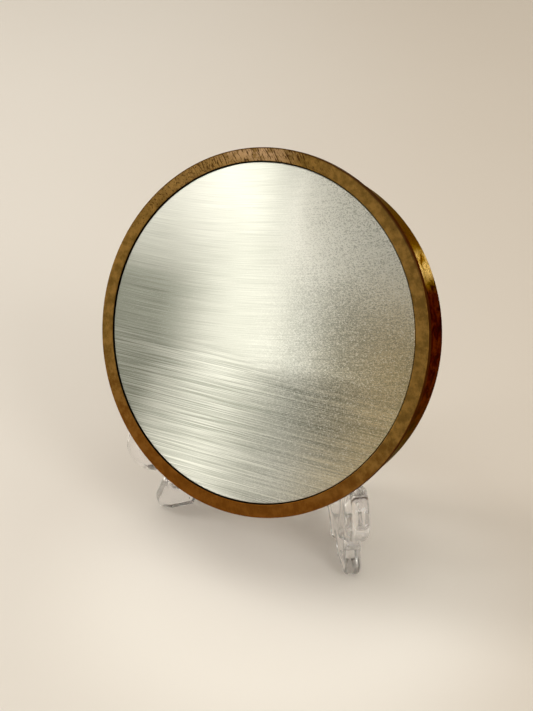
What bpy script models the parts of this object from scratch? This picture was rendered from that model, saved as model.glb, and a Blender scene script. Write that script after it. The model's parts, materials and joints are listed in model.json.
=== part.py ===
"""Extendable shaving mirror: a brushed metal mirror in a brass rim that closes a shallow drum like a lid.

Lazy tongs folded inside the drum push the mirror straight out. The drum leans in a small clear stand of two
hinged scroll frames. Sizes are in metres, +Z is up, the mirror faces -Y, and the origin is on the table under
the middle of the whole object.

The mirror has its own axes, held by the empty mirror_axes: X to the side, Y up the face and Z out of the face,
with Z = 0 on the face of the rim. Each stand frame is drawn in its own plane: X forward from the hinge, Y up.
"""
import math

import bmesh
import bpy
from mathutils import Vector

MM = 0.001
GAP = 0.3 * MM
PIN_GAP = 0.2 * MM
ROUND_STEPS = 96
SMALL_STEPS = 16

# Lean and place of the mirror
LEAN = math.radians(23.0)
FACE_CENTRE_Z = 68.9 * MM
RIM_RADIUS = 50.0 * MM
UNIT_DEPTH = 17.2 * MM

# Mirror head: rim, plate and what is behind it
RIM_OPENING = 46.4 * MM
RIM_THICKNESS = 2.0 * MM
PLATE_RADIUS = 46.1 * MM
PLATE_RECESS = 0.5 * MM
PLATE_THICKNESS = 1.0 * MM
SKIRT_OUTER = 45.6 * MM
SKIRT_INNER = 44.3 * MM
SKIRT_END = 5.2 * MM
HEAD_DISC_RADIUS = SKIRT_INNER - GAP
CORK_THICKNESS = 1.0 * MM
HEAD_DISC_THICKNESS = 1.0 * MM
CLIP_WIDTH = 1.4 * MM
CLIP_THICKNESS = 0.7 * MM
CLIP_OPENING = math.radians(14.0)

# Drum
DRUM_RADIUS = 47.3 * MM
DRUM_INNER = 46.1 * MM
LEDGE_INNER = 41.9 * MM
LEDGE_THICKNESS = 1.4 * MM
BACK_RADIUS = 45.8 * MM
BACK_THICKNESS = 1.0 * MM
BACK_INSET = 0.2 * MM
BACK_SCREW_RADIUS = 43.6 * MM
KEYHOLE_SIDE = 26.0 * MM
KEYHOLE_HEIGHT = 10.0 * MM
KEYHOLE_HEAD = 3.6 * MM
KEYHOLE_NECK = 1.9 * MM
KEYHOLE_RISE = 7.0 * MM

# Lazy tongs
LINK_LENGTH = 78.0 * MM
LINK_WIDTH = 2.7 * MM
LINK_THICKNESS = 2.0 * MM
LAYER_GAP = 0.4 * MM
PIN_RADIUS = 0.6 * MM
RIVET_HEAD_RADIUS = 1.1 * MM
RIVET_HEAD = 0.6 * MM

# Channels that hold the ends of the tongs
CHANNEL_INNER = 3.5 * MM
CHEEK = 1.0 * MM
CHANNEL_BASE = 0.8 * MM
CHANNEL_HALF_LENGTH = 40.9 * MM
CHANNEL_ROOM = 0.35 * MM
CHEEK_ABOVE_PIVOT = 1.7 * MM
SLOT_TRAVEL = 41.0 * MM
EAR_REACH = 9.6 * MM
EAR_WIDTH = 5.0 * MM
EAR_OFFSET = 28.0 * MM
EAR_SCREW_SIDE = 7.4 * MM
SCREW_SHANK = 0.8 * MM
SCREW_HEAD = 1.5 * MM
SCREW_HEAD_HEIGHT = 0.8 * MM
BACK_SCREW_HEAD = 1.3 * MM

# Clear stand
STAND_ANGLE = math.radians(40.0)
STAND_THICKNESS = 4.8 * MM
STAND_OFFSET = 0.85 * MM
HINGE_BEHIND_FACE = 33.0 * MM
KNUCKLE_RADIUS = 3.2 * MM
KNUCKLE_HEIGHT = 12.0 * MM
KNUCKLE_START = 10.0 * MM
HINGE_PIN_RADIUS = 1.3 * MM
HINGE_PIN_HEAD = 2.6 * MM
HINGE_PIN_HEAD_HEIGHT = 2.0 * MM
BAR_START = 3.8 * MM
BAR_WIDTH = 5.6 * MM
UPRIGHT_WIDTH = 6.9 * MM

# Worked out from the sizes above
FACE_Y = (RIM_RADIUS * math.sin(LEAN) - HINGE_BEHIND_FACE - KNUCKLE_RADIUS) / 2
HINGE_Y = FACE_Y + HINGE_BEHIND_FACE
PLATE_BACK = -(PLATE_RECESS + PLATE_THICKNESS)
CORK_FRONT = PLATE_BACK - GAP
HEAD_DISC_FRONT = CORK_FRONT - CORK_THICKNESS - GAP
HEAD_DISC_BACK = HEAD_DISC_FRONT - HEAD_DISC_THICKNESS
BACK_REAR = -(UNIT_DEPTH - BACK_INSET)
BACK_FRONT = BACK_REAR + BACK_THICKNESS
HEAD_CHANNEL_FLOOR = HEAD_DISC_BACK - GAP - CHANNEL_BASE
BASE_CHANNEL_FLOOR = BACK_FRONT + GAP + CHANNEL_BASE
PIVOT_OFF_FLOOR = CHANNEL_ROOM + LINK_WIDTH / 2
HEAD_PIVOT_Z = HEAD_CHANNEL_FLOOR - PIVOT_OFF_FLOOR
BASE_PIVOT_Z = BASE_CHANNEL_FLOOR + PIVOT_OFF_FLOOR
STAGE_RISE = (HEAD_PIVOT_Z - BASE_PIVOT_Z) / 2
FOLDED_ANGLE = math.asin(STAGE_RISE / LINK_LENGTH)
PIVOT_Y = LINK_LENGTH / 2
LINK_SIDE = (LAYER_GAP + LINK_THICKNESS) / 2

BRASS = ("aged_brass", (0.20, 0.11, 0.035), 1.0, 0.45)
LACQUER = ("lacquered_copper", (0.16, 0.03, 0.008), 0.8, 0.2)
SILVER = ("brushed_silver", (0.62, 0.62, 0.56), 1.0, 0.35)
STEEL = ("plain_steel", (0.45, 0.45, 0.45), 1.0, 0.35)
CORK = ("cork", (0.35, 0.20, 0.10), 0.0, 0.9)
CLEAR = ("clear_plastic", (0.92, 0.93, 0.93), 0.0, 0.05)


# ---------------------------------------------------------------- building blocks

def clear_scene():
    for obj in list(bpy.data.objects):
        bpy.data.objects.remove(obj, do_unlink=True)


def collection(name):
    made = bpy.data.collections.new(name)
    bpy.context.scene.collection.children.link(made)
    return made


def material(spec):
    name, colour, metallic, roughness = spec
    found = bpy.data.materials.get(name)
    if found:
        return found
    made = bpy.data.materials.new(name)
    made.use_nodes = True
    shader = made.node_tree.nodes["Principled BSDF"]
    shader.inputs["Base Color"].default_value = (*colour, 1.0)
    shader.inputs["Metallic"].default_value = metallic
    shader.inputs["Roughness"].default_value = roughness
    if spec is CLEAR:
        shader.inputs["Transmission Weight"].default_value = 1.0
    return made


def empty(name, parent=None, location=(0, 0, 0), rotation=(0, 0, 0)):
    made = bpy.data.objects.new(name, None)
    made.parent = parent
    made.location = location
    made.rotation_euler = rotation
    made.empty_display_size = 5 * MM
    PARTS.objects.link(made)
    return made


def add_object(name, mesh, parent, spec=None):
    """Link a mesh as a visible part, or as a hidden cutter when it has no material."""
    made = bpy.data.objects.new(name, mesh)
    made.parent = parent
    if spec is None:
        made.hide_render = True
        made.display_type = "WIRE"
        CUTTERS.objects.link(made)
    else:
        mesh.materials.append(material(spec))
        PARTS.objects.link(made)
    return made


def mesh_from(name, bm):
    bmesh.ops.recalc_face_normals(bm, faces=bm.faces)
    mesh = bpy.data.meshes.new(name)
    bm.to_mesh(mesh)
    bm.free()
    mesh.shade_smooth()
    mesh.set_sharp_from_angle(angle=math.radians(35))
    return mesh


def box(name, parent, low, high, spec=None):
    bm = bmesh.new()
    bmesh.ops.create_cube(bm, size=1.0)
    low = Vector(low)
    high = Vector(high)
    bmesh.ops.scale(bm, vec=high - low, verts=bm.verts)
    bmesh.ops.translate(bm, vec=(low + high) / 2, verts=bm.verts)
    return add_object(name, mesh_from(name, bm), parent, spec)


def turned(name, parent, profile, spec=None, closed=False, steps=ROUND_STEPS, place=(0, 0, 0), turn=(0, 0, 0)):
    """Turn a (radius, height) profile about Z. It runs down its outer side, top to bottom."""
    mesh = bpy.data.meshes.new(name)
    points = [(radius, 0.0, height) for radius, height in profile]
    edges = [(i, i + 1) for i in range(len(points) - 1)]
    if closed:
        edges.append((len(points) - 1, 0))
    mesh.from_pydata(points, edges, [])
    made = add_object(name, mesh, parent, spec)
    made.location = place
    made.rotation_euler = turn
    screw = made.modifiers.new("turn", "SCREW")
    screw.steps = steps
    screw.render_steps = steps
    screw.use_merge_vertices = True
    screw.merge_threshold = 0.00001
    screw.use_smooth_shade = True
    return made


def rod_profile(radius, bottom, top):
    return [(0, top), (radius, top), (radius, bottom), (0, bottom)]


def cross_rod(name, parent, radius, half_length, y, z, spec=None):
    """A rod along X at (y, z)."""
    return turned(name, parent, rod_profile(radius, -half_length, half_length), spec,
                  steps=SMALL_STEPS, place=(0, y, z), turn=(0, math.radians(90), 0))


def combine(target, other, operation="DIFFERENCE"):
    step = target.modifiers.new(operation.lower(), "BOOLEAN")
    step.operation = operation
    step.solver = "EXACT"
    step.object = other


def arc(centre, radius, start, end, steps):
    """Points on an arc, with both ends, angles in degrees."""
    points = []
    for i in range(steps + 1):
        angle = math.radians(start + (end - start) * i / steps)
        points.append((centre[0] + radius * math.cos(angle), centre[1] + radius * math.sin(angle)))
    return points


def circle(centre, radius, steps=SMALL_STEPS):
    return arc(centre, radius, 0, 360, steps)[:-1]


def add_spline(curve, points):
    """A closed outline. Plain points are corners, and points marked smooth are rounded through."""
    spline = curve.splines.new("BEZIER")
    spline.bezier_points.add(len(points) - 1)
    spline.use_cyclic_u = True
    for knot, point in zip(spline.bezier_points, points):
        kind = "AUTO" if len(point) == 3 else "VECTOR"
        knot.co = (point[0], point[1], 0)
        knot.handle_left_type = kind
        knot.handle_right_type = kind


def flat_plate(name, parent, outlines, thickness, spec=None, resolution=1):
    """A flat outline with its holes, thickened evenly about its own plane, as a welded mesh."""
    curve = bpy.data.curves.new(name, "CURVE")
    curve.dimensions = "2D"
    curve.fill_mode = "BOTH"
    curve.extrude = thickness / 2
    curve.resolution_u = resolution
    curve.render_resolution_u = 0
    for points in outlines:
        add_spline(curve, points)
    drawn = bpy.data.objects.new(name + "_outline", curve)
    PARTS.objects.link(drawn)
    evaluated = drawn.evaluated_get(bpy.context.evaluated_depsgraph_get())
    mesh = bpy.data.meshes.new_from_object(evaluated)
    bm = bmesh.new()
    bm.from_mesh(mesh)
    bmesh.ops.remove_doubles(bm, verts=bm.verts, dist=0.000002)
    bpy.data.objects.remove(drawn, do_unlink=True)
    bpy.data.curves.remove(curve)
    bpy.data.meshes.remove(mesh)
    return add_object(name, mesh_from(name, bm), parent, spec)


# ---------------------------------------------------------------- mirror head

def bezel_ring(head):
    """Flat brass rim, a rebate for the plate and a skirt that enters the drum's mouth."""
    rebate = PLATE_BACK - GAP
    turned("bezel_ring", head, [
        (RIM_OPENING, 0), (RIM_RADIUS, 0), (RIM_RADIUS, -RIM_THICKNESS), (SKIRT_OUTER, -RIM_THICKNESS),
        (SKIRT_OUTER, -SKIRT_END), (SKIRT_INNER, -SKIRT_END), (SKIRT_INNER, rebate), (RIM_OPENING, rebate),
    ], BRASS, closed=True)


def head_discs(head):
    """The mirror plate, the cork behind it and the disc that carries the tongs."""
    turned("mirror_plate", head, rod_profile(PLATE_RADIUS, PLATE_BACK, -PLATE_RECESS), SILVER)
    turned("cork_backing", head, rod_profile(HEAD_DISC_RADIUS, CORK_FRONT - CORK_THICKNESS, CORK_FRONT), CORK)
    disc = turned("head_back_disc", head, rod_profile(HEAD_DISC_RADIUS, HEAD_DISC_BACK, HEAD_DISC_FRONT), STEEL)
    for index, (x, y) in enumerate(ear_screw_places()):
        hole = turned(f"cut_head_disc_{index}", head,
                      rod_profile(SCREW_SHANK + GAP, HEAD_DISC_BACK - GAP, HEAD_DISC_FRONT + GAP),
                      steps=SMALL_STEPS, place=(x, y, 0))
        combine(disc, hole)


def retaining_clip(head):
    """Split spring ring that holds the stack in the rim."""
    inner = HEAD_DISC_RADIUS - CLIP_WIDTH
    half = math.degrees(CLIP_OPENING) / 2
    points = arc((0, 0), HEAD_DISC_RADIUS, half - 90, 270 - half, 48) + arc((0, 0), inner, 270 - half, half - 90, 48)
    clip = flat_plate("retaining_clip", head, [points], CLIP_THICKNESS, STEEL)
    clip.location = (0, 0, HEAD_DISC_BACK - GAP - CLIP_THICKNESS / 2)


# ---------------------------------------------------------------- channels and screws

def ear_screw_places():
    return [(EAR_SCREW_SIDE, EAR_OFFSET), (-EAR_SCREW_SIDE, -EAR_OFFSET)]


def channel(name, parent, floor, side):
    """U channel along Y with two fixing ears, a pivot hole at +Y and slots for the slider at -Y.

    side is +1 where the cheeks stand towards +Z, and -1 where they stand towards -Z.
    """
    def span(start, end):
        return sorted((floor + side * start, floor + side * end))

    wide = CHANNEL_INNER + CHEEK
    base_low, base_high = span(-CHANNEL_BASE, 0)
    cheek_top = PIVOT_OFF_FLOOR + CHEEK_ABOVE_PIVOT
    cheek_low, cheek_high = span(-CHANNEL_BASE, cheek_top)
    pivot = floor + side * PIVOT_OFF_FLOOR
    body = box(name, parent, (-wide, -CHANNEL_HALF_LENGTH, base_low), (wide, CHANNEL_HALF_LENGTH, base_high), STEEL)
    for x in (-1, 1):
        near = x * CHANNEL_INNER
        far = x * wide
        low = (min(near, far), -CHANNEL_HALF_LENGTH, cheek_low)
        high = (max(near, far), CHANNEL_HALF_LENGTH, cheek_high)
        combine(body, box(f"add_{name}_cheek_{x}", parent, low, high), "UNION")
    for index, (x, y) in enumerate(ear_screw_places()):
        reach = math.copysign(EAR_REACH, x)
        root = math.copysign(CHANNEL_INNER, x)
        low = (min(reach, root), y - EAR_WIDTH / 2, base_low)
        high = (max(reach, root), y + EAR_WIDTH / 2, base_high)
        combine(body, box(f"add_{name}_ear_{index}", parent, low, high), "UNION")
        hole = turned(f"cut_{name}_ear_{index}", parent, rod_profile(SCREW_SHANK + PIN_GAP, base_low - GAP,
                      base_high + GAP), steps=SMALL_STEPS, place=(x, y, 0))
        combine(body, hole)
    combine(body, cross_rod(f"cut_{name}_pivot", parent, PIN_RADIUS + PIN_GAP, 2 * wide, PIVOT_Y, pivot))
    slot_half = PIN_RADIUS + PIN_GAP
    outline = (arc((-PIVOT_Y, 0), slot_half, 90, 270, 8)
               + arc((SLOT_TRAVEL - PIVOT_Y, 0), slot_half, -90, 90, 8))
    slot = flat_plate(f"cut_{name}_slot", parent, [outline], 4 * wide)
    slot.location = (0, 0, pivot)
    slot.rotation_euler = (math.radians(90), 0, math.radians(90))
    combine(body, slot)


def pan_screw(name, parent, x, y, seat, side, reach):
    """Screw along Z with its head against seat; side is the way its head points."""
    profile = [(0, SCREW_HEAD_HEIGHT), (SCREW_HEAD * 0.75, SCREW_HEAD_HEIGHT), (SCREW_HEAD, SCREW_HEAD_HEIGHT * 0.45),
               (SCREW_HEAD, 0), (SCREW_SHANK, 0), (SCREW_SHANK, -reach), (0, -reach)]
    turned(name, parent, profile, STEEL, steps=SMALL_STEPS, place=(x, y, seat),
           turn=(0 if side > 0 else math.pi, 0, 0))


def channel_screws(name, parent, floor, side):
    reach = CHANNEL_BASE + 2 * GAP + HEAD_DISC_THICKNESS - 0.1 * MM
    for index, (x, y) in enumerate(ear_screw_places(), start=1):
        pan_screw(f"{name}_{index}", parent, x, y, floor + side * GAP, side, reach)


def headed_pin(name, parent, reach, y, z):
    """Riveted pin along X, with its two heads GAP outside the stack that reaches to +-reach."""
    inner = reach + GAP
    outer = inner + RIVET_HEAD
    dome = RIVET_HEAD_RADIUS * 0.7
    profile = [(0, outer), (dome, outer), (RIVET_HEAD_RADIUS, outer - RIVET_HEAD / 2), (RIVET_HEAD_RADIUS, inner),
               (PIN_RADIUS, inner), (PIN_RADIUS, -inner), (RIVET_HEAD_RADIUS, -inner),
               (RIVET_HEAD_RADIUS, RIVET_HEAD / 2 - outer), (dome, -outer), (0, -outer)]
    turned(name, parent, profile, STEEL, steps=SMALL_STEPS, place=(0, y, z), turn=(0, math.radians(90), 0))


# ---------------------------------------------------------------- drum

def drum_wall(drum):
    """Polished band with an inward ledge that the back plate is screwed to."""
    rear = -UNIT_DEPTH
    ledge_rear = BACK_FRONT + GAP
    ledge_front = ledge_rear + LEDGE_THICKNESS
    front = -(RIM_THICKNESS + GAP)
    wall = turned("drum_wall", drum, [
        (DRUM_INNER, front), (DRUM_RADIUS, front), (DRUM_RADIUS, rear), (DRUM_INNER, rear),
        (DRUM_INNER, ledge_rear), (LEDGE_INNER, ledge_rear), (LEDGE_INNER, ledge_front), (DRUM_INNER, ledge_front),
    ], LACQUER, closed=True)
    for index, (x, y) in enumerate(back_screw_places()):
        hole = turned(f"cut_ledge_{index}", drum, rod_profile(SCREW_SHANK + PIN_GAP, ledge_rear - GAP,
                      ledge_front + GAP), steps=SMALL_STEPS, place=(x, y, 0))
        combine(wall, hole)


def back_screw_places():
    return arc((0, 0), BACK_SCREW_RADIUS, 45, 315, 3)


def keyhole_outline(side):
    """Round entry below, narrow neck above, for a wall screw."""
    centre = (side * KEYHOLE_SIDE, KEYHOLE_HEIGHT)
    half_turn = math.degrees(math.asin(KEYHOLE_NECK / KEYHOLE_HEAD))
    top = (centre[0], centre[1] + KEYHOLE_RISE)
    return (arc(centre, KEYHOLE_HEAD, 90 + half_turn, 450 - half_turn, 20)
            + arc(top, KEYHOLE_NECK, 0, 180, 8))


def drum_back(drum):
    """Back plate with two wall keyholes and countersunk screws into the ledge."""
    plate = flat_plate("drum_back_plate", drum, [circle((0, 0), BACK_RADIUS, ROUND_STEPS), keyhole_outline(-1),
                       keyhole_outline(1)], BACK_THICKNESS, BRASS)
    plate.location = (0, 0, (BACK_FRONT + BACK_REAR) / 2)
    for index, (x, y) in enumerate(ear_screw_places()):
        hole = turned(f"cut_back_ear_{index}", drum, rod_profile(SCREW_SHANK + PIN_GAP, BACK_REAR - GAP,
                      BACK_FRONT + GAP), steps=SMALL_STEPS, place=(x, y, 0))
        combine(plate, hole)
    sink = BACK_SCREW_HEAD - SCREW_SHANK
    for index, (x, y) in enumerate(back_screw_places(), start=1):
        head = BACK_SCREW_HEAD + PIN_GAP
        shank = SCREW_SHANK + PIN_GAP
        cutter = turned(f"cut_back_screw_{index}", drum, [
            (0, BACK_FRONT + GAP), (shank, BACK_FRONT + GAP), (shank, BACK_REAR + sink),
            (head, BACK_REAR), (head, BACK_REAR - GAP), (0, BACK_REAR - GAP)],
            steps=SMALL_STEPS, place=(x, y, 0))
        combine(plate, cutter)
        turned(f"back_plate_screw_{index}", drum, [
            (0, BACK_FRONT + LEDGE_THICKNESS), (SCREW_SHANK, BACK_FRONT + LEDGE_THICKNESS),
            (SCREW_SHANK, BACK_REAR + sink), (BACK_SCREW_HEAD, BACK_REAR), (0, BACK_REAR)],
            STEEL, steps=SMALL_STEPS, place=(x, y, 0))


# ---------------------------------------------------------------- lazy tongs

def link(name, parent, x_side, start, end):
    """Flat bar in the YZ plane from start to end along Y, with round ends and three pin holes."""
    half = LINK_WIDTH / 2
    outline = arc((start, 0), half, 90, 270, 10) + arc((end, 0), half, -90, 90, 10)
    holes = [circle((y, 0), PIN_RADIUS + PIN_GAP) for y in (start, (start + end) / 2, end)]
    bar = flat_plate(name, parent, [outline] + holes, LINK_THICKNESS, STEEL)
    bar.location = (x_side * LINK_SIDE, 0, 0)
    bar.rotation_euler = (math.radians(90), 0, math.radians(90))
    return bar


def tongs(drum):
    """Two crossed pairs of links. Each link hangs on the pin that it turns on; the last pin carries the head."""
    stack = LINK_SIDE + LINK_THICKNESS / 2
    cheeks = CHANNEL_INNER + CHEEK
    half = LINK_LENGTH / 2
    first_pin = empty("pivot_front_link_1", drum, (0, PIVOT_Y, BASE_PIVOT_Z), (-FOLDED_ANGLE, 0, 0))
    headed_pin("base_pivot_pin", drum, cheeks, PIVOT_Y, BASE_PIVOT_Z)
    link("tong_link_a1", first_pin, 1, -LINK_LENGTH, 0)
    headed_pin("centre_rivet_1", first_pin, stack, -half, 0)
    headed_pin("side_rivet_lower", first_pin, stack, -LINK_LENGTH, 0)
    second_pin = empty("pivot_back_link_1", first_pin, (0, -half, 0), (2 * FOLDED_ANGLE, 0, 0))
    link("tong_link_b1", second_pin, -1, -half, half)
    headed_pin("base_slider_pin", second_pin, cheeks, -half, 0)
    headed_pin("side_rivet_upper", second_pin, stack, half, 0)
    third_pin = empty("pivot_front_link_2", second_pin, (0, half, 0), (-2 * FOLDED_ANGLE, 0, 0))
    link("tong_link_a2", third_pin, 1, -LINK_LENGTH, 0)
    headed_pin("centre_rivet_2", third_pin, stack, -half, 0)
    headed_pin("head_slider_pin", third_pin, cheeks, -LINK_LENGTH, 0)
    fourth_pin = empty("pivot_back_link_2", third_pin, (0, -half, 0), (2 * FOLDED_ANGLE, 0, 0))
    link("tong_link_b2", fourth_pin, -1, -half, half)
    head_pin = empty("pivot_head", fourth_pin, (0, half, 0), (-FOLDED_ANGLE, 0, 0))
    head = empty("head_axes", head_pin, (0, -PIVOT_Y, -HEAD_PIVOT_Z))
    headed_pin("head_pivot_pin", head, cheeks, PIVOT_Y, HEAD_PIVOT_Z)
    return head


# ---------------------------------------------------------------- clear stand

def off_hinge(forward):
    """Place of a point of a stand frame's inner face: to the side, and behind the mirror's face centre."""
    side = forward * math.sin(STAND_ANGLE) + STAND_OFFSET * math.cos(STAND_ANGLE)
    behind = HINGE_BEHIND_FACE - forward * math.cos(STAND_ANGLE) + STAND_OFFSET * math.sin(STAND_ANGLE)
    return side, behind


def under_drum(forward):
    """Height of the drum's underside above the table, in a stand frame's inner face."""
    side, behind = off_hinge(forward)
    below_axis = math.sqrt(DRUM_RADIUS ** 2 - side ** 2)
    return FACE_CENTRE_Z - (below_axis + behind * math.sin(LEAN)) / math.cos(LEAN)


def behind_drum(forward):
    """Height at which a stand frame's inner face meets the drum's back."""
    side, behind = off_hinge(forward)
    return FACE_CENTRE_Z + (behind * math.cos(LEAN) - UNIT_DEPTH) / math.sin(LEAN)


def upright_front(height):
    """How far forward of the hinge the upright may reach at a height, clear of the drum's back."""
    slope = math.cos(STAND_ANGLE) / math.tan(LEAN)
    return (behind_drum(0) - height) / slope - 1.5 * GAP


def smooth(points):
    return [(x * MM, y * MM, "smooth") for x, y in points]


def frame_outline():
    """Outer edge of a stand frame: feet, toe, front scroll, seat for the drum, upright and rear bar."""
    seat = [(x * MM, under_drum(x * MM) - 2 * GAP, "smooth") for x in (49.2, 46.4, 43.6)]
    notch_height = 25.4 * MM
    top_height = 73.0 * MM
    notch = (upright_front(notch_height), notch_height)
    top = (upright_front(top_height), top_height)
    rear_foot = [(BAR_START, 0), (10.5 * MM, 0)]
    arch = smooth([(14.0, 3.4), (22.0, 6.4), (26.0, 4.4), (28.2, 1.2), (30.8, 1.4), (32.6, 4.2), (35.2, 3.6)])
    front_foot = [(37.6 * MM, 0), (44.4 * MM, 0)]
    toe = smooth([(47.8, 1.4), (48.5, 4.2), (47.2, 7.2), (46.4, 10.4)])
    scroll = smooth([(48.2, 14.0), (52.8, 16.6), (56.0, 20.8), (56.4, 25.2), (54.8, 29.2), (51.8, 31.4)])
    crown = smooth([(12.2, 77.8), (9.2, 79.6), (6.2, 78.0), (4.8, 73.6)])
    rear = [(BAR_START, 66.0 * MM)]
    return rear_foot + arch + front_foot + toe + scroll + seat + [notch, top] + crown + rear


def frame_windows():
    """Openings of a stand frame: two behind the upright, one in the scroll and one over the foot."""
    inner = BAR_START + BAR_WIDTH

    def upright_rear(height):
        return (upright_front(height * MM) - UPRIGHT_WIDTH, height * MM)

    lower = [(inner, 12.0 * MM)] + smooth([(16.0, 11.0), (25.0, 12.6), (32.0, 11.6), (36.2, 14.6)])
    lower += [upright_rear(24.0), upright_rear(33.0), (inner, 37.0 * MM)]
    upper = [(inner, 42.0 * MM), upright_rear(38.5), upright_rear(62.0)] + smooth([(12.2, 67.4), (10.0, 66.4)])
    scroll = smooth([(49.2, 18.0), (52.4, 20.4), (53.2, 24.2), (51.6, 27.6), (48.6, 28.0), (46.2, 24.4), (46.4, 19.8)])
    foot = circle((42.2 * MM, 9.4 * MM), 2.6 * MM)
    crown = circle((9.4 * MM, 74.4 * MM), 2.0 * MM)
    return [lower, upper, scroll, foot, crown]


def knuckle_span(index):
    """Bottom and top of the hinge knuckle at this place in the stack, from the bottom up."""
    low = KNUCKLE_START + index * (KNUCKLE_HEIGHT + GAP)
    return low, low + KNUCKLE_HEIGHT


def stand_frame(name, outward, heading, knuckles):
    """Scroll frame in its own plane; outward is the side of the hinge plane that it lies on."""
    axes = empty(name + "_axes", None, (0, HINGE_Y, 0), (math.radians(90), 0, heading))
    plate = flat_plate(name, axes, [frame_outline()] + frame_windows(), STAND_THICKNESS, CLEAR, resolution=5)
    offset = outward * (STAND_OFFSET + STAND_THICKNESS / 2)
    for vertex in plate.data.vertices:
        vertex.co.z += offset
    upright = (math.radians(-90), 0, 0)
    for index in knuckles:
        low, high = knuckle_span(index)
        neck_sides = sorted((outward * GAP / 2, outward * KNUCKLE_RADIUS * 0.9))
        neck = box(f"add_{name}_neck_{index}", axes, (0, low, neck_sides[0]), (BAR_START + GAP, high, neck_sides[1]))
        combine(plate, neck, "UNION")
        barrel = turned(f"add_{name}_barrel_{index}", axes, rod_profile(KNUCKLE_RADIUS, -high, -low),
                        steps=24, turn=(math.radians(90), 0, 0))
        combine(plate, barrel, "UNION")
    bore = turned(f"cut_{name}_bore", axes, rod_profile(HINGE_PIN_RADIUS + PIN_GAP, 0, knuckle_span(4)[1]),
                  steps=SMALL_STEPS, turn=upright)
    combine(plate, bore)


def stand_hinge_pin():
    bottom = KNUCKLE_START + GAP
    head = knuckle_span(3)[1] + GAP
    top = head + HINGE_PIN_HEAD_HEIGHT
    turned("stand_hinge_pin", None, [
        (0, top), (HINGE_PIN_HEAD * 0.7, top), (HINGE_PIN_HEAD, top - HINGE_PIN_HEAD_HEIGHT * 0.4),
        (HINGE_PIN_HEAD, head), (HINGE_PIN_RADIUS, head), (HINGE_PIN_RADIUS, bottom), (0, bottom),
    ], CLEAR, steps=SMALL_STEPS, place=(0, HINGE_Y, 0))


def stand():
    quarter = math.radians(90)
    stand_frame("stand_left_frame", 1, -(quarter + STAND_ANGLE), (0, 2))
    stand_frame("stand_right_frame", -1, STAND_ANGLE - quarter, (1, 3))
    stand_hinge_pin()


# ---------------------------------------------------------------- the whole object

def mirror_unit():
    axes = empty("mirror_axes", None, (0, FACE_Y, FACE_CENTRE_Z), (math.radians(90) - LEAN, 0, 0))
    drum = empty("drum_axes", axes)
    drum_wall(drum)
    drum_back(drum)
    channel("base_channel", drum, BASE_CHANNEL_FLOOR, 1)
    channel_screws("base_channel_screw", drum, BASE_CHANNEL_FLOOR, 1)
    head = tongs(drum)
    bezel_ring(head)
    head_discs(head)
    retaining_clip(head)
    channel("head_channel", head, HEAD_CHANNEL_FLOOR, -1)
    channel_screws("head_channel_screw", head, HEAD_CHANNEL_FLOOR, -1)


clear_scene()
PARTS = collection("extendable_shaving_mirror")
CUTTERS = collection("cutters")
mirror_unit()
stand()
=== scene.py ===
"""Looks of the extendable shaving mirror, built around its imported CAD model. Metres, +Z up.

Every shown piece is made again from the CAD part it stands for, finer and with soft edges: turned parts
from their own profile, flat parts from their own outline. The mirror's own axes are X to the side, Y up the
face and Z out of the face, with the origin at the centre of the rim's face, and its materials are laid out
in millimetres along them.
"""
import json
import math

import bmesh
import bpy
from mathutils import Matrix, Vector

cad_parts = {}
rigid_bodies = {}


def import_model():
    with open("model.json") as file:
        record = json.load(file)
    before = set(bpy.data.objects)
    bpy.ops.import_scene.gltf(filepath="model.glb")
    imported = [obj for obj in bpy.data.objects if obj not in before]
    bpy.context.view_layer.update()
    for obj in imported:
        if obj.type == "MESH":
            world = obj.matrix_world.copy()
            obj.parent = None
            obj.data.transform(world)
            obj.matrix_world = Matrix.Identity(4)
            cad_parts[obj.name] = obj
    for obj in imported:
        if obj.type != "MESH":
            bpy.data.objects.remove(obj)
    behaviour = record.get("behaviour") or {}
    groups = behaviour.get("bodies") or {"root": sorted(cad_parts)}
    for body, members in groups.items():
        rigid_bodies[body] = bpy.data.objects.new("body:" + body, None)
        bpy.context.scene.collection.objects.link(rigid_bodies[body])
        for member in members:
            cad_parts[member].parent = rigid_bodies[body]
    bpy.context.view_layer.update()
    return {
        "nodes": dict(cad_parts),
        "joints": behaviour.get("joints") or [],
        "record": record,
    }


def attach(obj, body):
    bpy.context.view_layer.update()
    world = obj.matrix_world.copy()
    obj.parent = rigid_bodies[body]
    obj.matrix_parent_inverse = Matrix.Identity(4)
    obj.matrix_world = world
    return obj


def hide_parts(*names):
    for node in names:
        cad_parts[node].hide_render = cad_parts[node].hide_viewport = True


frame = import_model()

MM = 0.001
SAME = 0.02 * MM  # measures this close are taken as one
WELD = 0.0002 * MM  # points this close are joined
SLOTS = {part["node"]: part["material_slot"] for part in frame["record"]["subparts"]}
JOINTS = {joint["name"]: joint for joint in frame["joints"]}
HINGE = Vector(JOINTS["stand_spread"]["pos_m"])
SIDE = Vector((1, 0, 0))
UP = Vector(JOINTS["mirror_lift"]["axis"]).normalized()
OUT = SIDE.cross(UP)

# Soft edges of the pieces, and how many steps go round the turned ones
DISC_EDGE, DISC_STEPS = 0.2 * MM, 288
PIN_EDGE, PIN_STEPS = 0.3 * MM, 48
SCREW_EDGE, SCREW_STEPS = 0.15 * MM, 64
BARREL_EDGE, BARREL_STEPS = 0.3 * MM, 64
LINK_EDGE = 0.25 * MM
PLATE_EDGE = 0.12 * MM
CHANNEL_EDGE = 0.15 * MM
FRAME_EDGE = 1.4 * MM
OUTLINE_STEP = 0.35 * MM  # length of the chords that an outline's curves are drawn with
TRUE_CORNER = math.radians(35)  # a sharper turn in an outline is meant, and stays
EDGE_BENDS = 4  # chords in each soft corner of a turned piece's profile


# ---------------------------------------------------------------- axes and measures of the CAD parts

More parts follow.
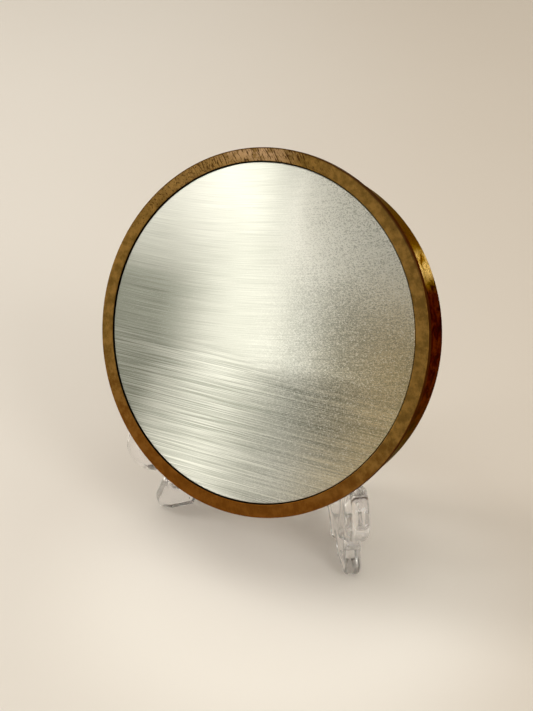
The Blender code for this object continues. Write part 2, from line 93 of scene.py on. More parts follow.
def axes_of(x_axis, y_axis, z_axis, origin):
    """Matrix of a set of axes, given by their directions and origin."""
    made = Matrix((x_axis, y_axis, z_axis)).transposed().to_4x4()
    made.translation = origin
    return made


def in_axes(cad_node, axes):
    """A welded copy of a CAD part's mesh, seen in the given axes."""
    bm = bmesh.new()
    bm.from_mesh(frame["nodes"][cad_node].data)
    bm.transform(axes.inverted())
    bmesh.ops.remove_doubles(bm, verts=bm.verts, dist=WELD)
    bm.normal_update()
    return bm


def centred(cad_node, axes):
    """The axes, moved sideways so that their Z axis runs through the middle of the part."""
    bm = in_axes(cad_node, axes)
    xs = [vert.co.x for vert in bm.verts]
    ys = [vert.co.y for vert in bm.verts]
    bm.free()
    return axes @ Matrix.Translation(((min(xs) + max(xs)) / 2, (min(ys) + max(ys)) / 2, 0))


def face_centre():
    """Middle of the front of the mirror's rim."""
    axes = centred("bezel_ring", axes_of(SIDE, UP, OUT, (0, 0, 0)))
    bm = in_axes("bezel_ring", axes)
    front = max(vert.co.z for vert in bm.verts)
    bm.free()
    return axes @ Vector((0, 0, front))


FACE_CENTRE = face_centre()
MIRROR = axes_of(SIDE, UP, OUT, FACE_CENTRE)
CROSSWISE = axes_of(UP, OUT, SIDE, FACE_CENTRE)


# ---------------------------------------------------------------- mesh work

def mesh_object(name, bm, axes):
    """Object with this mesh, which is given in the axes; the mesh is used up."""
    bmesh.ops.recalc_face_normals(bm, faces=bm.faces)
    mesh = bpy.data.meshes.new(name)
    bm.to_mesh(mesh)
    bm.free()
    made = bpy.data.objects.new(name, mesh)
    bpy.context.scene.collection.objects.link(made)
    made.matrix_world = axes
    return made


def even_shading(obj):
    """Smooth shading that keeps large flat faces flat up to their soft edges."""
    obj.data.shade_smooth()
    obj.data.set_sharp_from_angle(angle=math.radians(50))
    weighted = obj.modifiers.new("flat_faces", "WEIGHTED_NORMAL")
    weighted.keep_sharp = True
    weighted.weight = 90


def combine(target, other, operation):
    """Boolean, applied at once; the other object is used up."""
    step = target.modifiers.new(operation.lower(), "BOOLEAN")
    step.operation = operation
    step.solver = "EXACT"
    step.object = other
    bpy.context.view_layer.update()
    evaluated = target.evaluated_get(bpy.context.evaluated_depsgraph_get())
    mesh = bpy.data.meshes.new_from_object(evaluated)
    target.modifiers.remove(step)
    target.data = mesh
    bpy.data.objects.remove(other, do_unlink=True)


def block(low, high, axes):
    """Plain box between two corners, for cutting and joining."""
    bm = bmesh.new()
    bmesh.ops.create_cube(bm, size=1.0)
    low = Vector(low)
    high = Vector(high)
    bmesh.ops.scale(bm, vec=high - low, verts=bm.verts)
    bmesh.ops.translate(bm, vec=(low + high) / 2, verts=bm.verts)
    return mesh_object("block", bm, axes)


def soften(points, closed, size):
    """Turn each corner of a profile into a small rounding of about this size."""
    rounded = []
    count = len(points)
    for i, point in enumerate(points):
        here = Vector(point)
        if not closed and i in (0, count - 1):
            rounded.append(here)
            continue
        before = Vector(points[i - 1]) - here
        after = Vector(points[(i + 1) % count]) - here
        reach = min(size, 0.42 * before.length, 0.42 * after.length)
        start = before.normalized() * reach
        end = after.normalized() * reach
        for k in range(EDGE_BENDS + 1):
            t = k / EDGE_BENDS
            rounded.append(here + start * (1 - t) ** 2 + end * t ** 2)
    return rounded


def turn_profile(name, points, closed, steps, axes):
    """Turn (radius, height) points about Z."""
    bm = bmesh.new()
    verts = [bm.verts.new((radius, 0, height)) for radius, height in points]
    edges = [bm.edges.new(pair) for pair in zip(verts, verts[1:])]
    if closed:
        edges.append(bm.edges.new((verts[-1], verts[0])))
    bmesh.ops.spin(bm, geom=verts + edges, cent=(0, 0, 0), axis=(0, 0, 1), angle=math.tau,
                   steps=steps, use_merge=True)
    bmesh.ops.remove_doubles(bm, verts=bm.verts, dist=WELD)
    return mesh_object(name, bm, axes)


def profile_of(cad_node, axes):
    """(radius, height) corners of a turned CAD part in order, and whether they close into a ring."""
    bm = in_axes(cad_node, axes)
    corners = []
    owner = {}
    for vert in bm.verts:
        place = (math.hypot(vert.co.x, vert.co.y), vert.co.z)
        for i, (radius, height, members) in enumerate(corners):
            if abs(radius - place[0]) < SAME and abs(height - place[1]) < SAME:
                owner[vert] = i
                members.append(vert)
                break
        else:
            owner[vert] = len(corners)
            corners.append((*place, [vert]))

    # A real corner has points all the way round; the edges of holes add a few stray ones.
    most = max(len(members) for _, _, members in corners)
    real = {i for i, corner in enumerate(corners) if len(corner[2]) > most / 2}
    beside = {i: set() for i in real}
    for edge in bm.edges:
        ends = {owner[vert] for vert in edge.verts}
        if len(ends) == 2 and ends <= real:
            a, b = ends
            beside[a].add(b)
            beside[b].add(a)
    bm.free()
    tips = [i for i in real if len(beside[i]) == 1]
    order = [tips[0] if tips else min(real)]
    while True:
        onward = [i for i in sorted(beside[order[-1]]) if i not in order]
        if not onward:
            break
        order.append(onward[0])
    points = [corners[i][:2] for i in order]
    if not tips:
        return points, True
    return [(0.0, points[0][1])] + points + [(0.0, points[-1][1])], False


def turned_like(cad_node, axes, edge, steps):
    """A CAD part's own profile, turned again with finer steps and soft edges."""
    axes = centred(cad_node, axes)
    points, closed = profile_of(cad_node, axes)
    return turn_profile(cad_node + "_form", soften(points, closed, edge), closed, steps, axes)


def flat_level(bm, side):
    """Height of the widest flat face that looks along +Z or -Z."""
    areas = {}
    for face in bm.faces:
        if face.normal.z * side > 0.999:
            level = round(face.calc_center_median().z / SAME)
            areas[level] = areas.get(level, 0) + face.calc_area()
    return max(areas, key=areas.get) * SAME


def loops_of(bm, level):
    """Outlines of the flat face at this height, as closed lists of 2-D points."""
    flat = [face for face in bm.faces if all(abs(vert.co.z - level) < 2 * SAME for vert in face.verts)]
    in_flat = set(flat)
    onward = {}
    for face in flat:
        for edge in face.edges:
            if sum(other in in_flat for other in edge.link_faces) == 1:
                first, second = edge.verts
                onward.setdefault(first, []).append(second)
                onward.setdefault(second, []).append(first)
    loops = []
    waiting = set(onward)
    while waiting:
        here = min(waiting, key=lambda vert: vert.index)
        loop = []
        while here is not None:
            loop.append(here.co.xy.copy())
            waiting.discard(here)
            here = next((vert for vert in onward[here] if vert in waiting), None)
        loops.append(loop)
    return loops


def tangent_at(points, i):
    """Directions of an outline into and out of a point; they differ only at a true corner."""
    count = len(points)
    into = points[i] - points[i - 1]
    out = points[(i + 1) % count] - points[i]
    if into.angle(out, 0) > TRUE_CORNER:
        return into.normalized(), out.normalized()
    if out.length > 3 * into.length:
        shared = out.normalized()
    elif into.length > 3 * out.length:
        shared = into.normalized()
    else:
        shared = (into / into.length ** 2 + out / out.length ** 2).normalized()
    return shared, shared


def refine(points):
    """Draw a smooth outline through the points, keeping its true corners and straight runs."""
    count = len(points)
    tangents = [tangent_at(points, i) for i in range(count)]
    fine = []
    for i in range(count):
        start = points[i]
        end = points[(i + 1) % count]
        chord = end - start
        leave = tangents[i][1]
        arrive = tangents[(i + 1) % count][0]
        straight = max(leave.angle(chord, 0), arrive.angle(chord, 0)) < math.radians(0.5)
        pieces = 1 if straight else max(1, math.ceil(chord.length / OUTLINE_STEP))
        for k in range(pieces):
            t = k / pieces
            fine.append(start * (2 * t ** 3 - 3 * t ** 2 + 1) + end * (3 * t ** 2 - 2 * t ** 3)
                        + chord.length * (leave * (t ** 3 - 2 * t ** 2 + t) + arrive * (t ** 3 - t ** 2)))
    return fine


def slab(name, loops, bottom, top, edge, axes):
    """A flat plate with holes and soft edges, from its outlines."""
    curve = bpy.data.curves.new(name, "CURVE")
    curve.dimensions = "2D"
    curve.fill_mode = "BOTH"
    curve.extrude = (top - bottom) / 2 - edge
    curve.bevel_depth = edge
    curve.bevel_resolution = 2 if edge < MM else 4
    curve.offset = -edge
    for points in loops:
        spline = curve.splines.new("POLY")
        spline.points.add(len(points) - 1)
        spline.use_cyclic_u = True
        for knot, point in zip(spline.points, points):
            knot.co = (*point, 0, 1)
    drawn = bpy.data.objects.new(name, curve)
    bpy.context.scene.collection.objects.link(drawn)
    bpy.context.view_layer.update()
    mesh = bpy.data.meshes.new_from_object(drawn.evaluated_get(bpy.context.evaluated_depsgraph_get()))
    bm = bmesh.new()
    bm.from_mesh(mesh)
    bmesh.ops.remove_doubles(bm, verts=bm.verts, dist=10 * WELD)
    bmesh.ops.translate(bm, vec=(0, 0, (bottom + top) / 2), verts=bm.verts)
    bpy.data.objects.remove(drawn, do_unlink=True)
    bpy.data.curves.remove(curve)
    bpy.data.meshes.remove(mesh)
    return mesh_object(name, bm, axes)


def slab_like(cad_node, axes, edge, side=1):
    """A flat CAD part, drawn again from the outlines of one of its two faces."""
    bm = in_axes(cad_node, axes)
    bm.verts.index_update()
    level = flat_level(bm, side)
    other = flat_level(bm, -side)
    loops = [refine(loop) for loop in loops_of(bm, level)]
    bm.free()
    return slab(cad_node + "_form", loops, min(level, other), max(level, other), edge, axes)


def bevelled_like(cad_node, axes, edge):
    """A CAD part's own mesh with its coplanar faces joined and its edges broken."""
    bm = in_axes(cad_node, axes)
    bmesh.ops.dissolve_limit(bm, angle_limit=math.radians(1), verts=bm.verts, edges=bm.edges)
    made = mesh_object(cad_node + "_form", bm, axes)
    bevel = made.modifiers.new("soft_edges", "BEVEL")
    bevel.width = edge
    bevel.segments = 2
    bevel.limit_method = "ANGLE"
    bevel.angle_limit = math.radians(40)
    return made


# ---------------------------------------------------------------- shader building blocks

def node(tree, kind, inputs=None, **settings):
    """Add a shader node. inputs maps a socket to a value or to another node's output."""
    made = tree.nodes.new("ShaderNode" + kind)
    for key, value in settings.items():
        setattr(made, key, value)
    for key, value in (inputs or {}).items():
        if isinstance(value, bpy.types.NodeSocket):
            tree.links.new(value, made.inputs[key])
        else:
            made.inputs[key].default_value = value
    return made


def maths(tree, operation, *values, clamp=False):
    return node(tree, "Math", dict(enumerate(values)), operation=operation, use_clamp=clamp).outputs[0]


def total(tree, first, *others):
    for other in others:
        first = maths(tree, "ADD", first, other)
    return first


def product(tree, first, *others):
    for other in others:
        first = maths(tree, "MULTIPLY", first, other)
    return first


def vector_maths(tree, operation, *values):
    """The vector that a vector operation gives."""
    return node(tree, "VectorMath", dict(enumerate(values)), operation=operation).outputs["Vector"]


def measure(tree, operation, *values):
    """The number that a vector operation such as LENGTH gives."""
    return node(tree, "VectorMath", dict(enumerate(values)), operation=operation).outputs["Value"]


def mix(tree, factor, first, second, blend="MIX"):
    """Mix two colours."""
    made = node(tree, "Mix", data_type="RGBA", blend_type=blend)
    for index, value in ((0, factor), (6, first), (7, second)):
        if isinstance(value, bpy.types.NodeSocket):
            tree.links.new(value, made.inputs[index])
        elif index:
            made.inputs[index].default_value = (*value, 1)
        else:
            made.inputs[index].default_value = value
    return made.outputs[2]


def noise(tree, vector, scale, detail=3.0, roughness=0.55, distortion=0.0):
    return node(tree, "TexNoise", {"Vector": vector, "Scale": scale, "Detail": detail,
                                   "Roughness": roughness, "Distortion": distortion}).outputs[0]


def ramp(tree, value, low, high, start=0.0, end=1.0):
    """Smooth step of a value from start to end as it goes from low to high."""
    return node(tree, "MapRange", {"Value": value, 1: low, 2: high, 3: start, 4: end},
                interpolation_type="SMOOTHSTEP").outputs[0]


def stretched(tree, vector, scale, turn=0.0):
    """The vector turned about Z by minus turn and then scaled, so that a pattern lies along turn."""
    turned = node(tree, "VectorRotate", {"Vector": vector, "Angle": -turn}, rotation_type="Z_AXIS")
    return vector_maths(tree, "MULTIPLY", turned.outputs[0], scale)


def in_mm(tree):
    """The piece's own coordinates in millimetres."""
    place = node(tree, "TexCoord").outputs["Object"]
    return node(tree, "VectorMath", {0: place, "Scale": 1000.0}, operation="SCALE").outputs[0]


def split(tree, vector):
    """X, Y and Z of a vector."""
    return node(tree, "SeparateXYZ", {0: vector}).outputs


def new_material(name, metallic=0.0, roughness=0.5, **sockets):
    """A material, its node tree and its shader, with plain values for sockets such as Specular_Tint."""
    made = bpy.data.materials.new(name)
    made.use_nodes = True
    shader = made.node_tree.nodes["Principled BSDF"]
    shader.inputs["Metallic"].default_value = metallic
    shader.inputs["Roughness"].default_value = roughness
    for key, value in sockets.items():
        shader.inputs[key.replace("_", " ")].default_value = value
    return made, made.node_tree, shader


def plug(tree, shader, **links):
    """Link outputs to the shader's sockets."""
    for key, value in links.items():
        tree.links.new(value, shader.inputs[key.replace("_", " ")])


def bump(tree, height, strength, distance):
    return node(tree, "Bump", {"Height": height, "Strength": strength, "Distance": distance}).outputs[0]


# ---------------------------------------------------------------- materials

def plate_strokes(tree, place, y):
    """Fine and broad strokes of the plate, the share of the flat lower ones, and the way across them all."""
    # Most strokes are arcs about a far centre. The flat ones begin at a wandering line near the middle.
    arm = vector_maths(tree, "SUBTRACT", place, (-46.0, 226.0, 0.0))
    arm_x, arm_y, _ = split(tree, arm)
    along = product(tree, maths(tree, "ARCTAN2", arm_x, product(tree, arm_y, -1.0)), 240.0)
    arcs = node(tree, "CombineXYZ", {0: along, 1: measure(tree, "LENGTH", arm)}).outputs[0]
    flats = stretched(tree, place, (1, 1, 1), turn=math.radians(3))
    wander = noise(tree, stretched(tree, place, (0.02, 0.12, 0)), 1.0)
    in_lower = ramp(tree, total(tree, y, product(tree, wander, 8.0)), 0.5, -7.5)

    def strokes(scale):
        return mix(tree, in_lower,
                   noise(tree, vector_maths(tree, "MULTIPLY", arcs, scale), 1.0, detail=1.0),
                   noise(tree, vector_maths(tree, "MULTIPLY", flats, scale), 1.0, detail=1.0))

    across_arcs = vector_maths(tree, "NORMALIZE", arm)
    across_flats = (-math.sin(math.radians(1)), -math.cos(math.radians(1)), 0.0)
    across = node(tree, "Mix", {0: in_lower, 4: across_arcs, 5: across_flats}, data_type="VECTOR").outputs[1]
    across_in_world = node(tree, "VectorTransform", {"Vector": across}, vector_type="VECTOR",
                           convert_from="OBJECT", convert_to="WORLD").outputs[0]
    return strokes((0.05, 7.4, 1)), strokes((0.025, 1.6, 1)), in_lower, across_in_world


def plate_painted_glare(tree, x, y, upper_right):
    """Painted highlight and painted shade of the plate's reflection: how pale each area is."""
    lower_right = product(tree, ramp(tree, x, -4.0, 24.0), ramp(tree, y, -14.0, -32.0))
    upper_left = product(tree, ramp(tree, x, -10.0, -28.0), ramp(tree, y, 8.0, 30.0))
    middle = product(tree, ramp(tree, x, -4.0, 6.0), ramp(tree, x, 26.0, 16.0), ramp(tree, y, -12.0, -8.0))
    left = product(tree, ramp(tree, x, -14.0, -34.0), ramp(tree, y, 16.0, 4.0), ramp(tree, y, -22.0, -6.0))
    lower_left = product(tree, ramp(tree, x, -26.0, -36.0), ramp(tree, y, -10.0, -20.0))
    # Painted highlight (positive weights) and painted shade (negative weights), area by area and in the
    # ramps below.
    areas = ((upper_right, 0.60), (lower_right, 0.30), (upper_left, 0.28), (middle, 0.10), (left, -0.34),
             (lower_left, -0.20))
    level = total(tree, *(product(tree, area, weight) for area, weight in areas),
                  ramp(tree, y, 18.0, 38.0, 0.0, 0.14), ramp(tree, x, 24.0, 42.0, 0.0, 0.21),
                  ramp(tree, y, -10.0, -20.0, 0.0, -0.11), ramp(tree, y, -28.0, -40.0, 0.0, 0.12), 0.42)
    return maths(tree, "MINIMUM", level, 0.90)


def brushed_silver():
    """Hand-brushed plate: arcs over most of it, flatter strokes below, and warm fine grain to the right."""
    made, tree, shader = new_material("brushed_silver", metallic=1.0, roughness=0.29, Anisotropic=1.0)
    place = in_mm(tree)
    x, y, _ = split(tree, place)
    fine, broad, in_lower, across = plate_strokes(tree, place, y)
    upper_right = product(tree, ramp(tree, x, -2.0, 14.0), ramp(tree, y, 4.0, 36.0))
    # Painted highlight and painted shade of the reflection, laid into the plate's colour.
    tone = plate_painted_glare(tree, x, y, upper_right)

    lines = total(tree, product(tree, ramp(tree, fine, 0.34, 0.66, -0.5, 0.5), 0.85),
                  product(tree, ramp(tree, broad, 0.32, 0.68, -0.5, 0.5), 0.15))
    grain = noise(tree, stretched(tree, place, (2.9, 4.4, 1)), 1.0, detail=1.0)
    grain_share = product(tree, ramp(tree, x, -6.0, 26.0),
                          total(tree, product(tree, upper_right, 0.8),
                                ramp(tree, y, -26.0, -4.0, 0.6, 1.0)))
    marks = total(tree, product(tree, lines, ramp(tree, in_lower, 0.0, 1.0, 0.22, 0.50)),
                  product(tree, ramp(tree, grain, 0.30, 0.70, -0.28, 0.28), grain_share))

    # Painted highlight and shade, with the real strokes and grain on top.
    painted_glare_and_strokes = maths(tree, "ADD", tone, marks, clamp=True)
    cool = mix(tree, painted_glare_and_strokes, (0.26, 0.275, 0.22), (0.98, 0.985, 0.89))
    warm_share = product(tree, ramp(tree, x, 12.0, 44.0), ramp(tree, y, 34.0, -2.0))
    warm = mix(tree, warm_share, cool, mix(tree, 1.0, cool, (1.0, 0.83, 0.56), "MULTIPLY"))
    glitter = product(tree, ramp(tree, grain, 0.60, 0.70), ramp(tree, x, 2.0, 34.0, 0.1, 0.8))
    plug(tree, shader, Base_Color=mix(tree, glitter, warm, (1.0, 1.0, 0.96)), Tangent=across,
         Roughness=total(tree, product(tree, broad, 0.03), product(tree, upper_right, 0.06), 0.28),
         Normal=bump(tree, marks, 0.12, 0.02 * MM))
    return made


def brass_metal(tree, x, y, cloud, worked):
    """Bare metal: olive, redder low down, with painted highlight at the top left and in a patch on top."""
    olive = mix(tree, ramp(tree, cloud, 0.35, 0.65), (0.23, 0.13, 0.028), (0.33, 0.185, 0.045))
    red_share = ramp(tree, total(tree, y, product(tree, cloud, 30.0)), 4.0, -30.0)
    reddened = mix(tree, product(tree, red_share, 0.8), olive, (0.235, 0.072, 0.006))
    # Painted highlight: paler at the top left, and a pale patch on top.
    top_left = product(tree, ramp(tree, y, 22.0, 42.0), ramp(tree, x, 6.0, -14.0))
    with_painted_top_left_glare = mix(tree, product(tree, top_left, 0.8), reddened, (0.40, 0.24, 0.075))
    from_patch = maths(tree, "ABSOLUTE", total(tree, x, 13.0))
    patch = product(tree, ramp(tree, y, 42.0, 48.0), ramp(tree, from_patch, 17.0, 6.0),
                    ramp(tree, cloud, 0.34, 0.52))
    with_painted_glare = mix(tree, patch, with_painted_top_left_glare, (0.60, 0.39, 0.20))
    streaked = mix(tree, 1.0, with_painted_glare, (0.76, 0.74, 0.72), "MULTIPLY")
    return mix(tree, ramp(tree, worked, 0.40, 0.60), streaked, with_painted_glare)


def brass_grime_and_shade(tree, place, radius):
    """Share of dark: grime in scores on the top and in pits, and painted shade on the outer edge."""
    x, y, z = split(tree, place)
    score = noise(tree, stretched(tree, place, (0.42, 2.1, 1), turn=math.radians(-48)), 1.0, detail=3.0)
    scores = product(tree, ramp(tree, score, 0.53, 0.60), ramp(tree, y, 32.0, 44.0),
                     ramp(tree, x, 20.0, 0.0))
    more_pits = product(tree, ramp(tree, y, 12.0, 30.0), ramp(tree, x, -8.0, -26.0), 0.12)
    pits = ramp(tree, total(tree, noise(tree, place, 1.7, detail=3.0), more_pits), 0.67, 0.72)
    # Painted shade: the rim's side on the right, beside the wall, and its outer edge at the top.
    shaded_side = product(tree, ramp(tree, x, 8.0, 30.0), ramp(tree, z, -0.1, -0.3))
    outer_edge = product(tree, ramp(tree, radius, 49.5, 49.8),
                         maths(tree, "MAXIMUM", ramp(tree, y, 16.0, 34.0), shaded_side))
    hollows = maths(tree, "MAXIMUM", product(tree, scores, 0.9), product(tree, pits, 0.8))
    return maths(tree, "MAXIMUM", hollows, product(tree, outer_edge, 0.85))


def aged_brass():
    """Dull, streaky brass, grimy in scores and pits, with painted shade: dark on edges, black in the recess.
    """
    made, tree, shader = new_material("aged_brass", metallic=1.0, roughness=0.5,
                                      Specular_Tint=(0.44, 0.32, 0.24, 1))
    place = in_mm(tree)
    x, y, z = split(tree, place)
    radius = maths(tree, "SQRT", total(tree, product(tree, x, x), product(tree, y, y)))
    cloud = noise(tree, place, 0.34, detail=4.0, roughness=0.7)
    streak = noise(tree, stretched(tree, place, (0.25, 2.6, 1), turn=math.radians(-62)), 1.0, detail=2.0)
    worked = total(tree, product(tree, cloud, 0.7), product(tree, streak, 0.3))
    metal = brass_metal(tree, x, y, cloud, worked)
    grime_and_shade = brass_grime_and_shade(tree, place, radius)
    # Painted shade: the inner wall of the opening near black, round the plate.
    painted_recess_shade = product(tree, ramp(tree, z, -0.05, -0.35), ramp(tree, z, -4.0, -3.0),
                  ramp(tree, radius, 47.4, 46.9))
    # Dark brown for grime and painted edge shade, near black for the painted recess shade.
    colour = mix(tree, painted_recess_shade, mix(tree, grime_and_shade, metal, (0.06, 0.022, 0.006)), (0.012, 0.010, 0.006))
    height = maths(tree, "SUBTRACT", product(tree, cloud, 0.5), product(tree, grime_and_shade, 0.8))
    plug(tree, shader, Base_Color=colour, Normal=bump(tree, height, 0.5, 0.05 * MM),
         Roughness=ramp(tree, worked, 0.3, 0.7, 0.44, 0.60))
    return made


def lacquered_copper():
    """Polished red-brown wall, mottled, browner on top, with a painted golden highlight high on both sides.
    """
    made, tree, shader = new_material("lacquered_copper", metallic=1.0, roughness=0.2,
                                      Specular_Tint=(0.46, 0.40, 0.24, 1))
    place = in_mm(tree)
    x, y, _ = split(tree, place)
    blotch = noise(tree, place, 0.30, detail=4.0, roughness=0.65, distortion=0.6)
    spots = noise(tree, place, 1.3, detail=3.0, roughness=0.6)
    red = mix(tree, ramp(tree, blotch, 0.35, 0.66), (0.022, 0.007, 0.001), (0.150, 0.038, 0.005))
    rise = maths(tree, "ARCTAN2", y, maths(tree, "ABSOLUTE", x))
    on_top = ramp(tree, total(tree, rise, product(tree, blotch, 0.35)), 0.62, 0.86)
    browned = mix(tree, on_top, red, (0.26, 0.115, 0.018))
    # Painted highlight: a golden band high on both sides, with the far lamp's real glint on it.
    from_painted_glint = maths(tree, "ABSOLUTE", maths(tree, "SUBTRACT", rise, 0.62))
    painted_glint = product(tree, ramp(tree, from_painted_glint, 0.16, 0.02), ramp(tree, blotch, 0.30, 0.60))
    golden = mix(tree, painted_glint, browned, (0.95, 0.68, 0.28))
    off_painted_glint = product(tree, maths(tree, "SUBTRACT", 1.0, painted_glint), 0.8)
    colour = mix(tree, product(tree, ramp(tree, spots, 0.54, 0.64), off_painted_glint), golden, (0.03, 0.004, 0.001))
    plug(tree, shader, Base_Color=colour, Normal=bump(tree, spots, 0.18, 0.05 * MM),
         Roughness=ramp(tree, spots, 0.3, 0.8, 0.14, 0.34))
    return made


def plain_steel():
    """Drawn steel with fine lines along the piece's own X and a few dull stains."""
    made, tree, shader = new_material("plain_steel", metallic=1.0, roughness=0.35)
    place = in_mm(tree)
    line = noise(tree, stretched(tree, place, (0.15, 5.0, 5.0)), 1.0, detail=2.0)
    stain = noise(tree, place, 0.25, detail=3.0)
    colour = mix(tree, ramp(tree, line, 0.3, 0.7), (0.42, 0.41, 0.39), (0.66, 0.65, 0.62))
    stained = mix(tree, ramp(tree, stain, 0.5, 0.75, 0.0, 0.6), colour, (0.30, 0.27, 0.23))
    plug(tree, shader, Base_Color=stained, Normal=bump(tree, line, 0.15, 0.02 * MM),
         Roughness=ramp(tree, stain, 0.3, 0.8, 0.28, 0.5))
    return made


def cork():
    """Pressed cork: pale granules with dark joints."""
    made, tree, shader = new_material("cork", roughness=0.9)
    place = in_mm(tree)
    cells = node(tree, "TexVoronoi", {"Vector": place, "Scale": 0.7})
    tone = noise(tree, place, 1.1, detail=4.0)
    granule = mix(tree, tone, (0.30, 0.17, 0.08), (0.52, 0.34, 0.18))
    joint = ramp(tree, cells.outputs["Distance"], 0.42, 0.62)
    colour = mix(tree, joint, granule, (0.13, 0.07, 0.03))
    plug(tree, shader, Base_Color=colour, Normal=bump(tree, tone, 0.4, 0.1 * MM))
    return made


def clear_plastic():
    """Clear moulded acrylic with a little flow ripple and handling haze."""
    made, tree, shader = new_material("clear_plastic", roughness=0.04, IOR=1.42, Alpha=0.93,
                                      Transmission_Weight=1.0)
    place = in_mm(tree)
    flow = noise(tree, place, 0.22, detail=1.0, distortion=0.4)
    haze = noise(tree, place, 1.2, detail=3.0)
    plug(tree, shader, Base_Color=mix(tree, haze, (1.0, 1.0, 1.0), (0.96, 0.955, 0.975)),
         Normal=bump(tree, flow, 0.12, 0.4 * MM), Roughness=ramp(tree, haze, 0.45, 0.8, 0.02, 0.16))
    return made


MATERIALS = {
    "brushed_silver": brushed_silver(),
    "aged_brass": aged_brass(),
    "lacquered_copper": lacquered_copper(),
    "plain_steel": plain_steel(),
    "cork": cork(),
    "clear_plastic": clear_plastic(),
}


# ---------------------------------------------------------------- the pieces

def finish_piece(piece, cad_node, body):
    """Give a piece its material, and put it in its CAD part's place."""
    piece.data.materials.clear()
    piece.data.materials.append(MATERIALS[SLOTS[cad_node]])
    even_shading(piece)
    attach(piece, body)
    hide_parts(cad_node)


def slotted_screw(cad_node, slot_turn):
    """Turned screw with a slot across its head, which is at its wider end."""
    depth, half_width, reach = 0.35 * MM, 0.2 * MM, 2 * MM
    piece = turned_like(cad_node, MIRROR, SCREW_EDGE, SCREW_STEPS)
    widest = max(piece.data.vertices, key=lambda vert: vert.co.xy.length)
    heights = [vert.co.z for vert in piece.data.vertices]
    face = min((min(heights), max(heights)), key=lambda height: abs(height - widest.co.z))
    slot_axes = piece.matrix_world @ Matrix.Rotation(slot_turn, 4, "Z")
    slot = block((-reach, -half_width, face - depth), (reach, half_width, face + depth), slot_axes)
    combine(piece, slot, "DIFFERENCE")
    return piece


def barrel_sizes(bm, forward):
    """Radius, bore and (low, high) spans of the hinge barrels of a stand frame, about its Y axis."""
    behind = [vert for vert in bm.verts if vert.co.x * forward < -MM]
    radius = max(math.hypot(vert.co.x, vert.co.z) for vert in behind)
    rim = [vert.co.y for vert in behind if abs(math.hypot(vert.co.x, vert.co.z) - radius) < SAME]
    levels = []
    for height in sorted(rim):
        if not levels or height - levels[-1] > SAME:
            levels.append(height)
    bore = min(math.hypot(vert.co.x, vert.co.z) for vert in bm.verts
               if levels[0] - SAME < vert.co.y < levels[-1] + SAME)
    return radius, bore, list(zip(levels[::2], levels[1::2]))


def stand_frame(cad_node):
    """Moulded scroll frame: its outline smoothed, its edges soft, and its hinge barrels moulded on."""
    faces = frame["nodes"][cad_node].data.polygons
    broad = max((face for face in faces if face.normal.y > 0.3), key=lambda face: face.area)
    normal = Vector((broad.normal.x, broad.normal.y, 0)).normalized()
    upright = Vector((0, 0, 1))
    axes = axes_of(upright.cross(normal), upright, normal, (HINGE.x, HINGE.y, 0))
    bm = in_axes(cad_node, axes)
    forward = 1 if sum(vert.co.x for vert in bm.verts) > 0 else -1
    radius, bore, spans = barrel_sizes(bm, forward)
    inner = flat_level(bm, -1)
    bm.free()
    piece = slab_like(cad_node, axes, FRAME_EDGE)
    about_hinge = axes @ Matrix.Rotation(math.radians(-90), 4, "X")

    # A neck joins each barrel to the frame's edge, and one bore runs through them all.
    near, far = sorted((0.0, forward * radius * 1.3))
    for low, high in spans:
        neck = block((near, low, inner - radius * 0.22), (far, high, inner + radius * 0.64), axes)
        combine(piece, neck, "UNION")
        profile = soften([(0, high), (radius, high), (radius, low), (0, low)], False, BARREL_EDGE)
        combine(piece, turn_profile("barrel", profile, False, BARREL_STEPS, about_hinge), "UNION")
    below, above = -MM, 90 * MM
    hole = [(0, below), (bore, below), (bore, above), (0, above)]
    combine(piece, turn_profile("bore", hole, False, PIN_STEPS, about_hinge), "DIFFERENCE")
    return piece


def make_piece(cad_node):
    """The finer form of a CAD part, by the way that it is made."""
    if cad_node in ("stand_left_frame", "stand_right_frame"):
        return stand_frame(cad_node)
    if cad_node == "stand_hinge_pin":
        return turned_like(cad_node, Matrix.Identity(4), BARREL_EDGE, BARREL_STEPS)
    if cad_node.startswith("tong_link"):
        return slab_like(cad_node, CROSSWISE, LINK_EDGE)
    if cad_node in ("drum_back_plate", "retaining_clip"):
        return slab_like(cad_node, MIRROR, PLATE_EDGE, side=-1)
    if cad_node.endswith("_channel"):
        return bevelled_like(cad_node, MIRROR, CHANNEL_EDGE)
    if "screw" in cad_node:
        # The slots point every way: each is turned by how many objects were made before it.
        return slotted_screw(cad_node, 0.7 * len(bpy.data.objects))
    if cad_node.endswith("_pin") or "rivet" in cad_node:
        return turned_like(cad_node, CROSSWISE, PIN_EDGE, PIN_STEPS)
    return turned_like(cad_node, MIRROR, DISC_EDGE, DISC_STEPS)


def all_pieces():
    """One finer piece for each CAD part, riding on the part's own body."""
    for body, members in frame["record"]["behaviour"]["bodies"].items():
        for cad_node in members:
            finish_piece(make_piece(cad_node), cad_node, body)


# ---------------------------------------------------------------- camera, floor and light

def direction(azimuth, elevation):
    """Way from the mirror in degrees; azimuth 0 is in front, 90 to the right."""
    a = math.radians(azimuth)
    e = math.radians(elevation)
    return Vector((math.sin(a) * math.cos(e), -math.cos(a) * math.cos(e), math.sin(e)))


def camera():
    """Above the mirror and to its right, looking a little below the middle of its face."""
    azimuth, elevation = 30.70, 29.16
    distance = 337 * MM
    aim = FACE_CENTRE + Vector((4.54, -1.08, -4.89)) * MM
    data = bpy.data.cameras.new("camera")
    data.sensor_width = 36
    data.lens = 63.29
    data.clip_start = 0.01
    made = bpy.data.objects.new("camera", data)
    bpy.context.scene.collection.objects.link(made)
    made.location = aim + direction(azimuth, elevation) * distance
    made.rotation_euler = (math.radians(90) - math.radians(elevation), 0, math.radians(azimuth))
    bpy.context.scene.camera = made


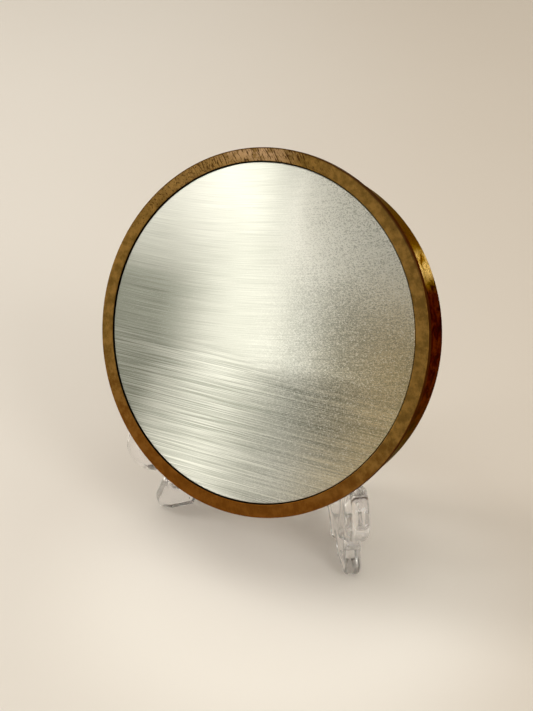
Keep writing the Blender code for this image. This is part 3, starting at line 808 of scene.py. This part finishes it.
def floor():
    """Pale sheet with painted shade away to one side, and painted light under the mirror to lift its shadow.
    """
    made, tree, shader = new_material("pale_paper", roughness=0.8)
    place = in_mm(tree)
    # Painted shade: the sheet darker away to one side.
    across = measure(tree, "DOT_PRODUCT", place, (0.86, 0.51, 0.0))
    shade = total(tree, ramp(tree, across, 170.0, -120.0, 0.0, 0.85),
                  product(tree, noise(tree, place, 0.006, detail=2.0), 0.15))
    sheet = mix(tree, shade, (0.74, 0.668, 0.585), (0.86, 0.817, 0.765))
    from_shadow = measure(tree, "DISTANCE", place, (18.0, -24.0, 0.0))
    # Painted light: a pale patch under the mirror that lifts its shadow.
    painted_light_patch = ramp(tree, from_shadow, 84.0, 35.0)
    plug(tree, shader, Base_Color=mix(tree, painted_light_patch, sheet, (0.98, 0.94, 0.882)))
    bm = bmesh.new()
    bmesh.ops.create_circle(bm, cap_ends=True, segments=64, radius=5.0)
    obj = mesh_object("floor", bm, Matrix.Identity(4))
    obj.data.materials.append(made)


def softbox(name, azimuth, elevation, distance, width, height, power):
    """Area light that looks at the mirror from this direction: angles in degrees, sizes in metres, watts."""
    data = bpy.data.lights.new(name, "AREA")
    data.shape = "RECTANGLE"
    data.size = width
    data.size_y = height
    data.energy = power
    data.color = (1.0, 0.98, 0.94)
    made = bpy.data.objects.new(name, data)
    bpy.context.scene.collection.objects.link(made)
    back = direction(azimuth, elevation)
    made.location = FACE_CENTRE + back * distance
    made.rotation_euler = (-back).to_track_quat("-Z", "Y").to_euler()
    made.visible_camera = False


def room():
    """Even pale surroundings, dim towards the front left except overhead."""
    world = bpy.data.worlds.new("room")
    bpy.context.scene.world = world
    world.use_nodes = True
    tree = world.node_tree
    way = node(tree, "TexCoord").outputs["Generated"]
    level = vector_maths(tree, "NORMALIZE", vector_maths(tree, "MULTIPLY", way, (1, 1, 0)))
    to_front_left = measure(tree, "DOT_PRODUCT", level, (-0.52, -0.85, 0.0))
    dim = product(tree, ramp(tree, to_front_left, 0.72, 0.95), ramp(tree, split(tree, way)[2], 0.92, 0.6))
    colour = mix(tree, dim, (0.50, 0.455, 0.38), (0.11, 0.106, 0.095))
    tree.links.new(colour, tree.nodes["Background"].inputs["Color"])


def lights():
    """Two far lights that the plate mirrors as its glare, and softer ones for the rest."""
    softbox("window", -29.2, 14.6, 4.0, 0.21, 0.35, 5.6)
    softbox("skylight", -42.3, 29.8, 4.0, 0.28, 0.36, 5.6)
    softbox("ceiling", -60.0, 80.0, 1.3, 1.2, 1.2, 5.2)
    softbox("lamp_right", 66.0, 32.0, 1.1, 0.35, 0.35, 2.3)
    softbox("lamp_left", -74.0, 24.0, 1.2, 0.4, 0.4, 4.2)
    softbox("far_lamp", 163.0, 4.0, 1.3, 0.22, 0.20, 0.60)


camera()
all_pieces()
floor()
lights()
room()
bpy.context.scene.view_settings.view_transform = "Standard"
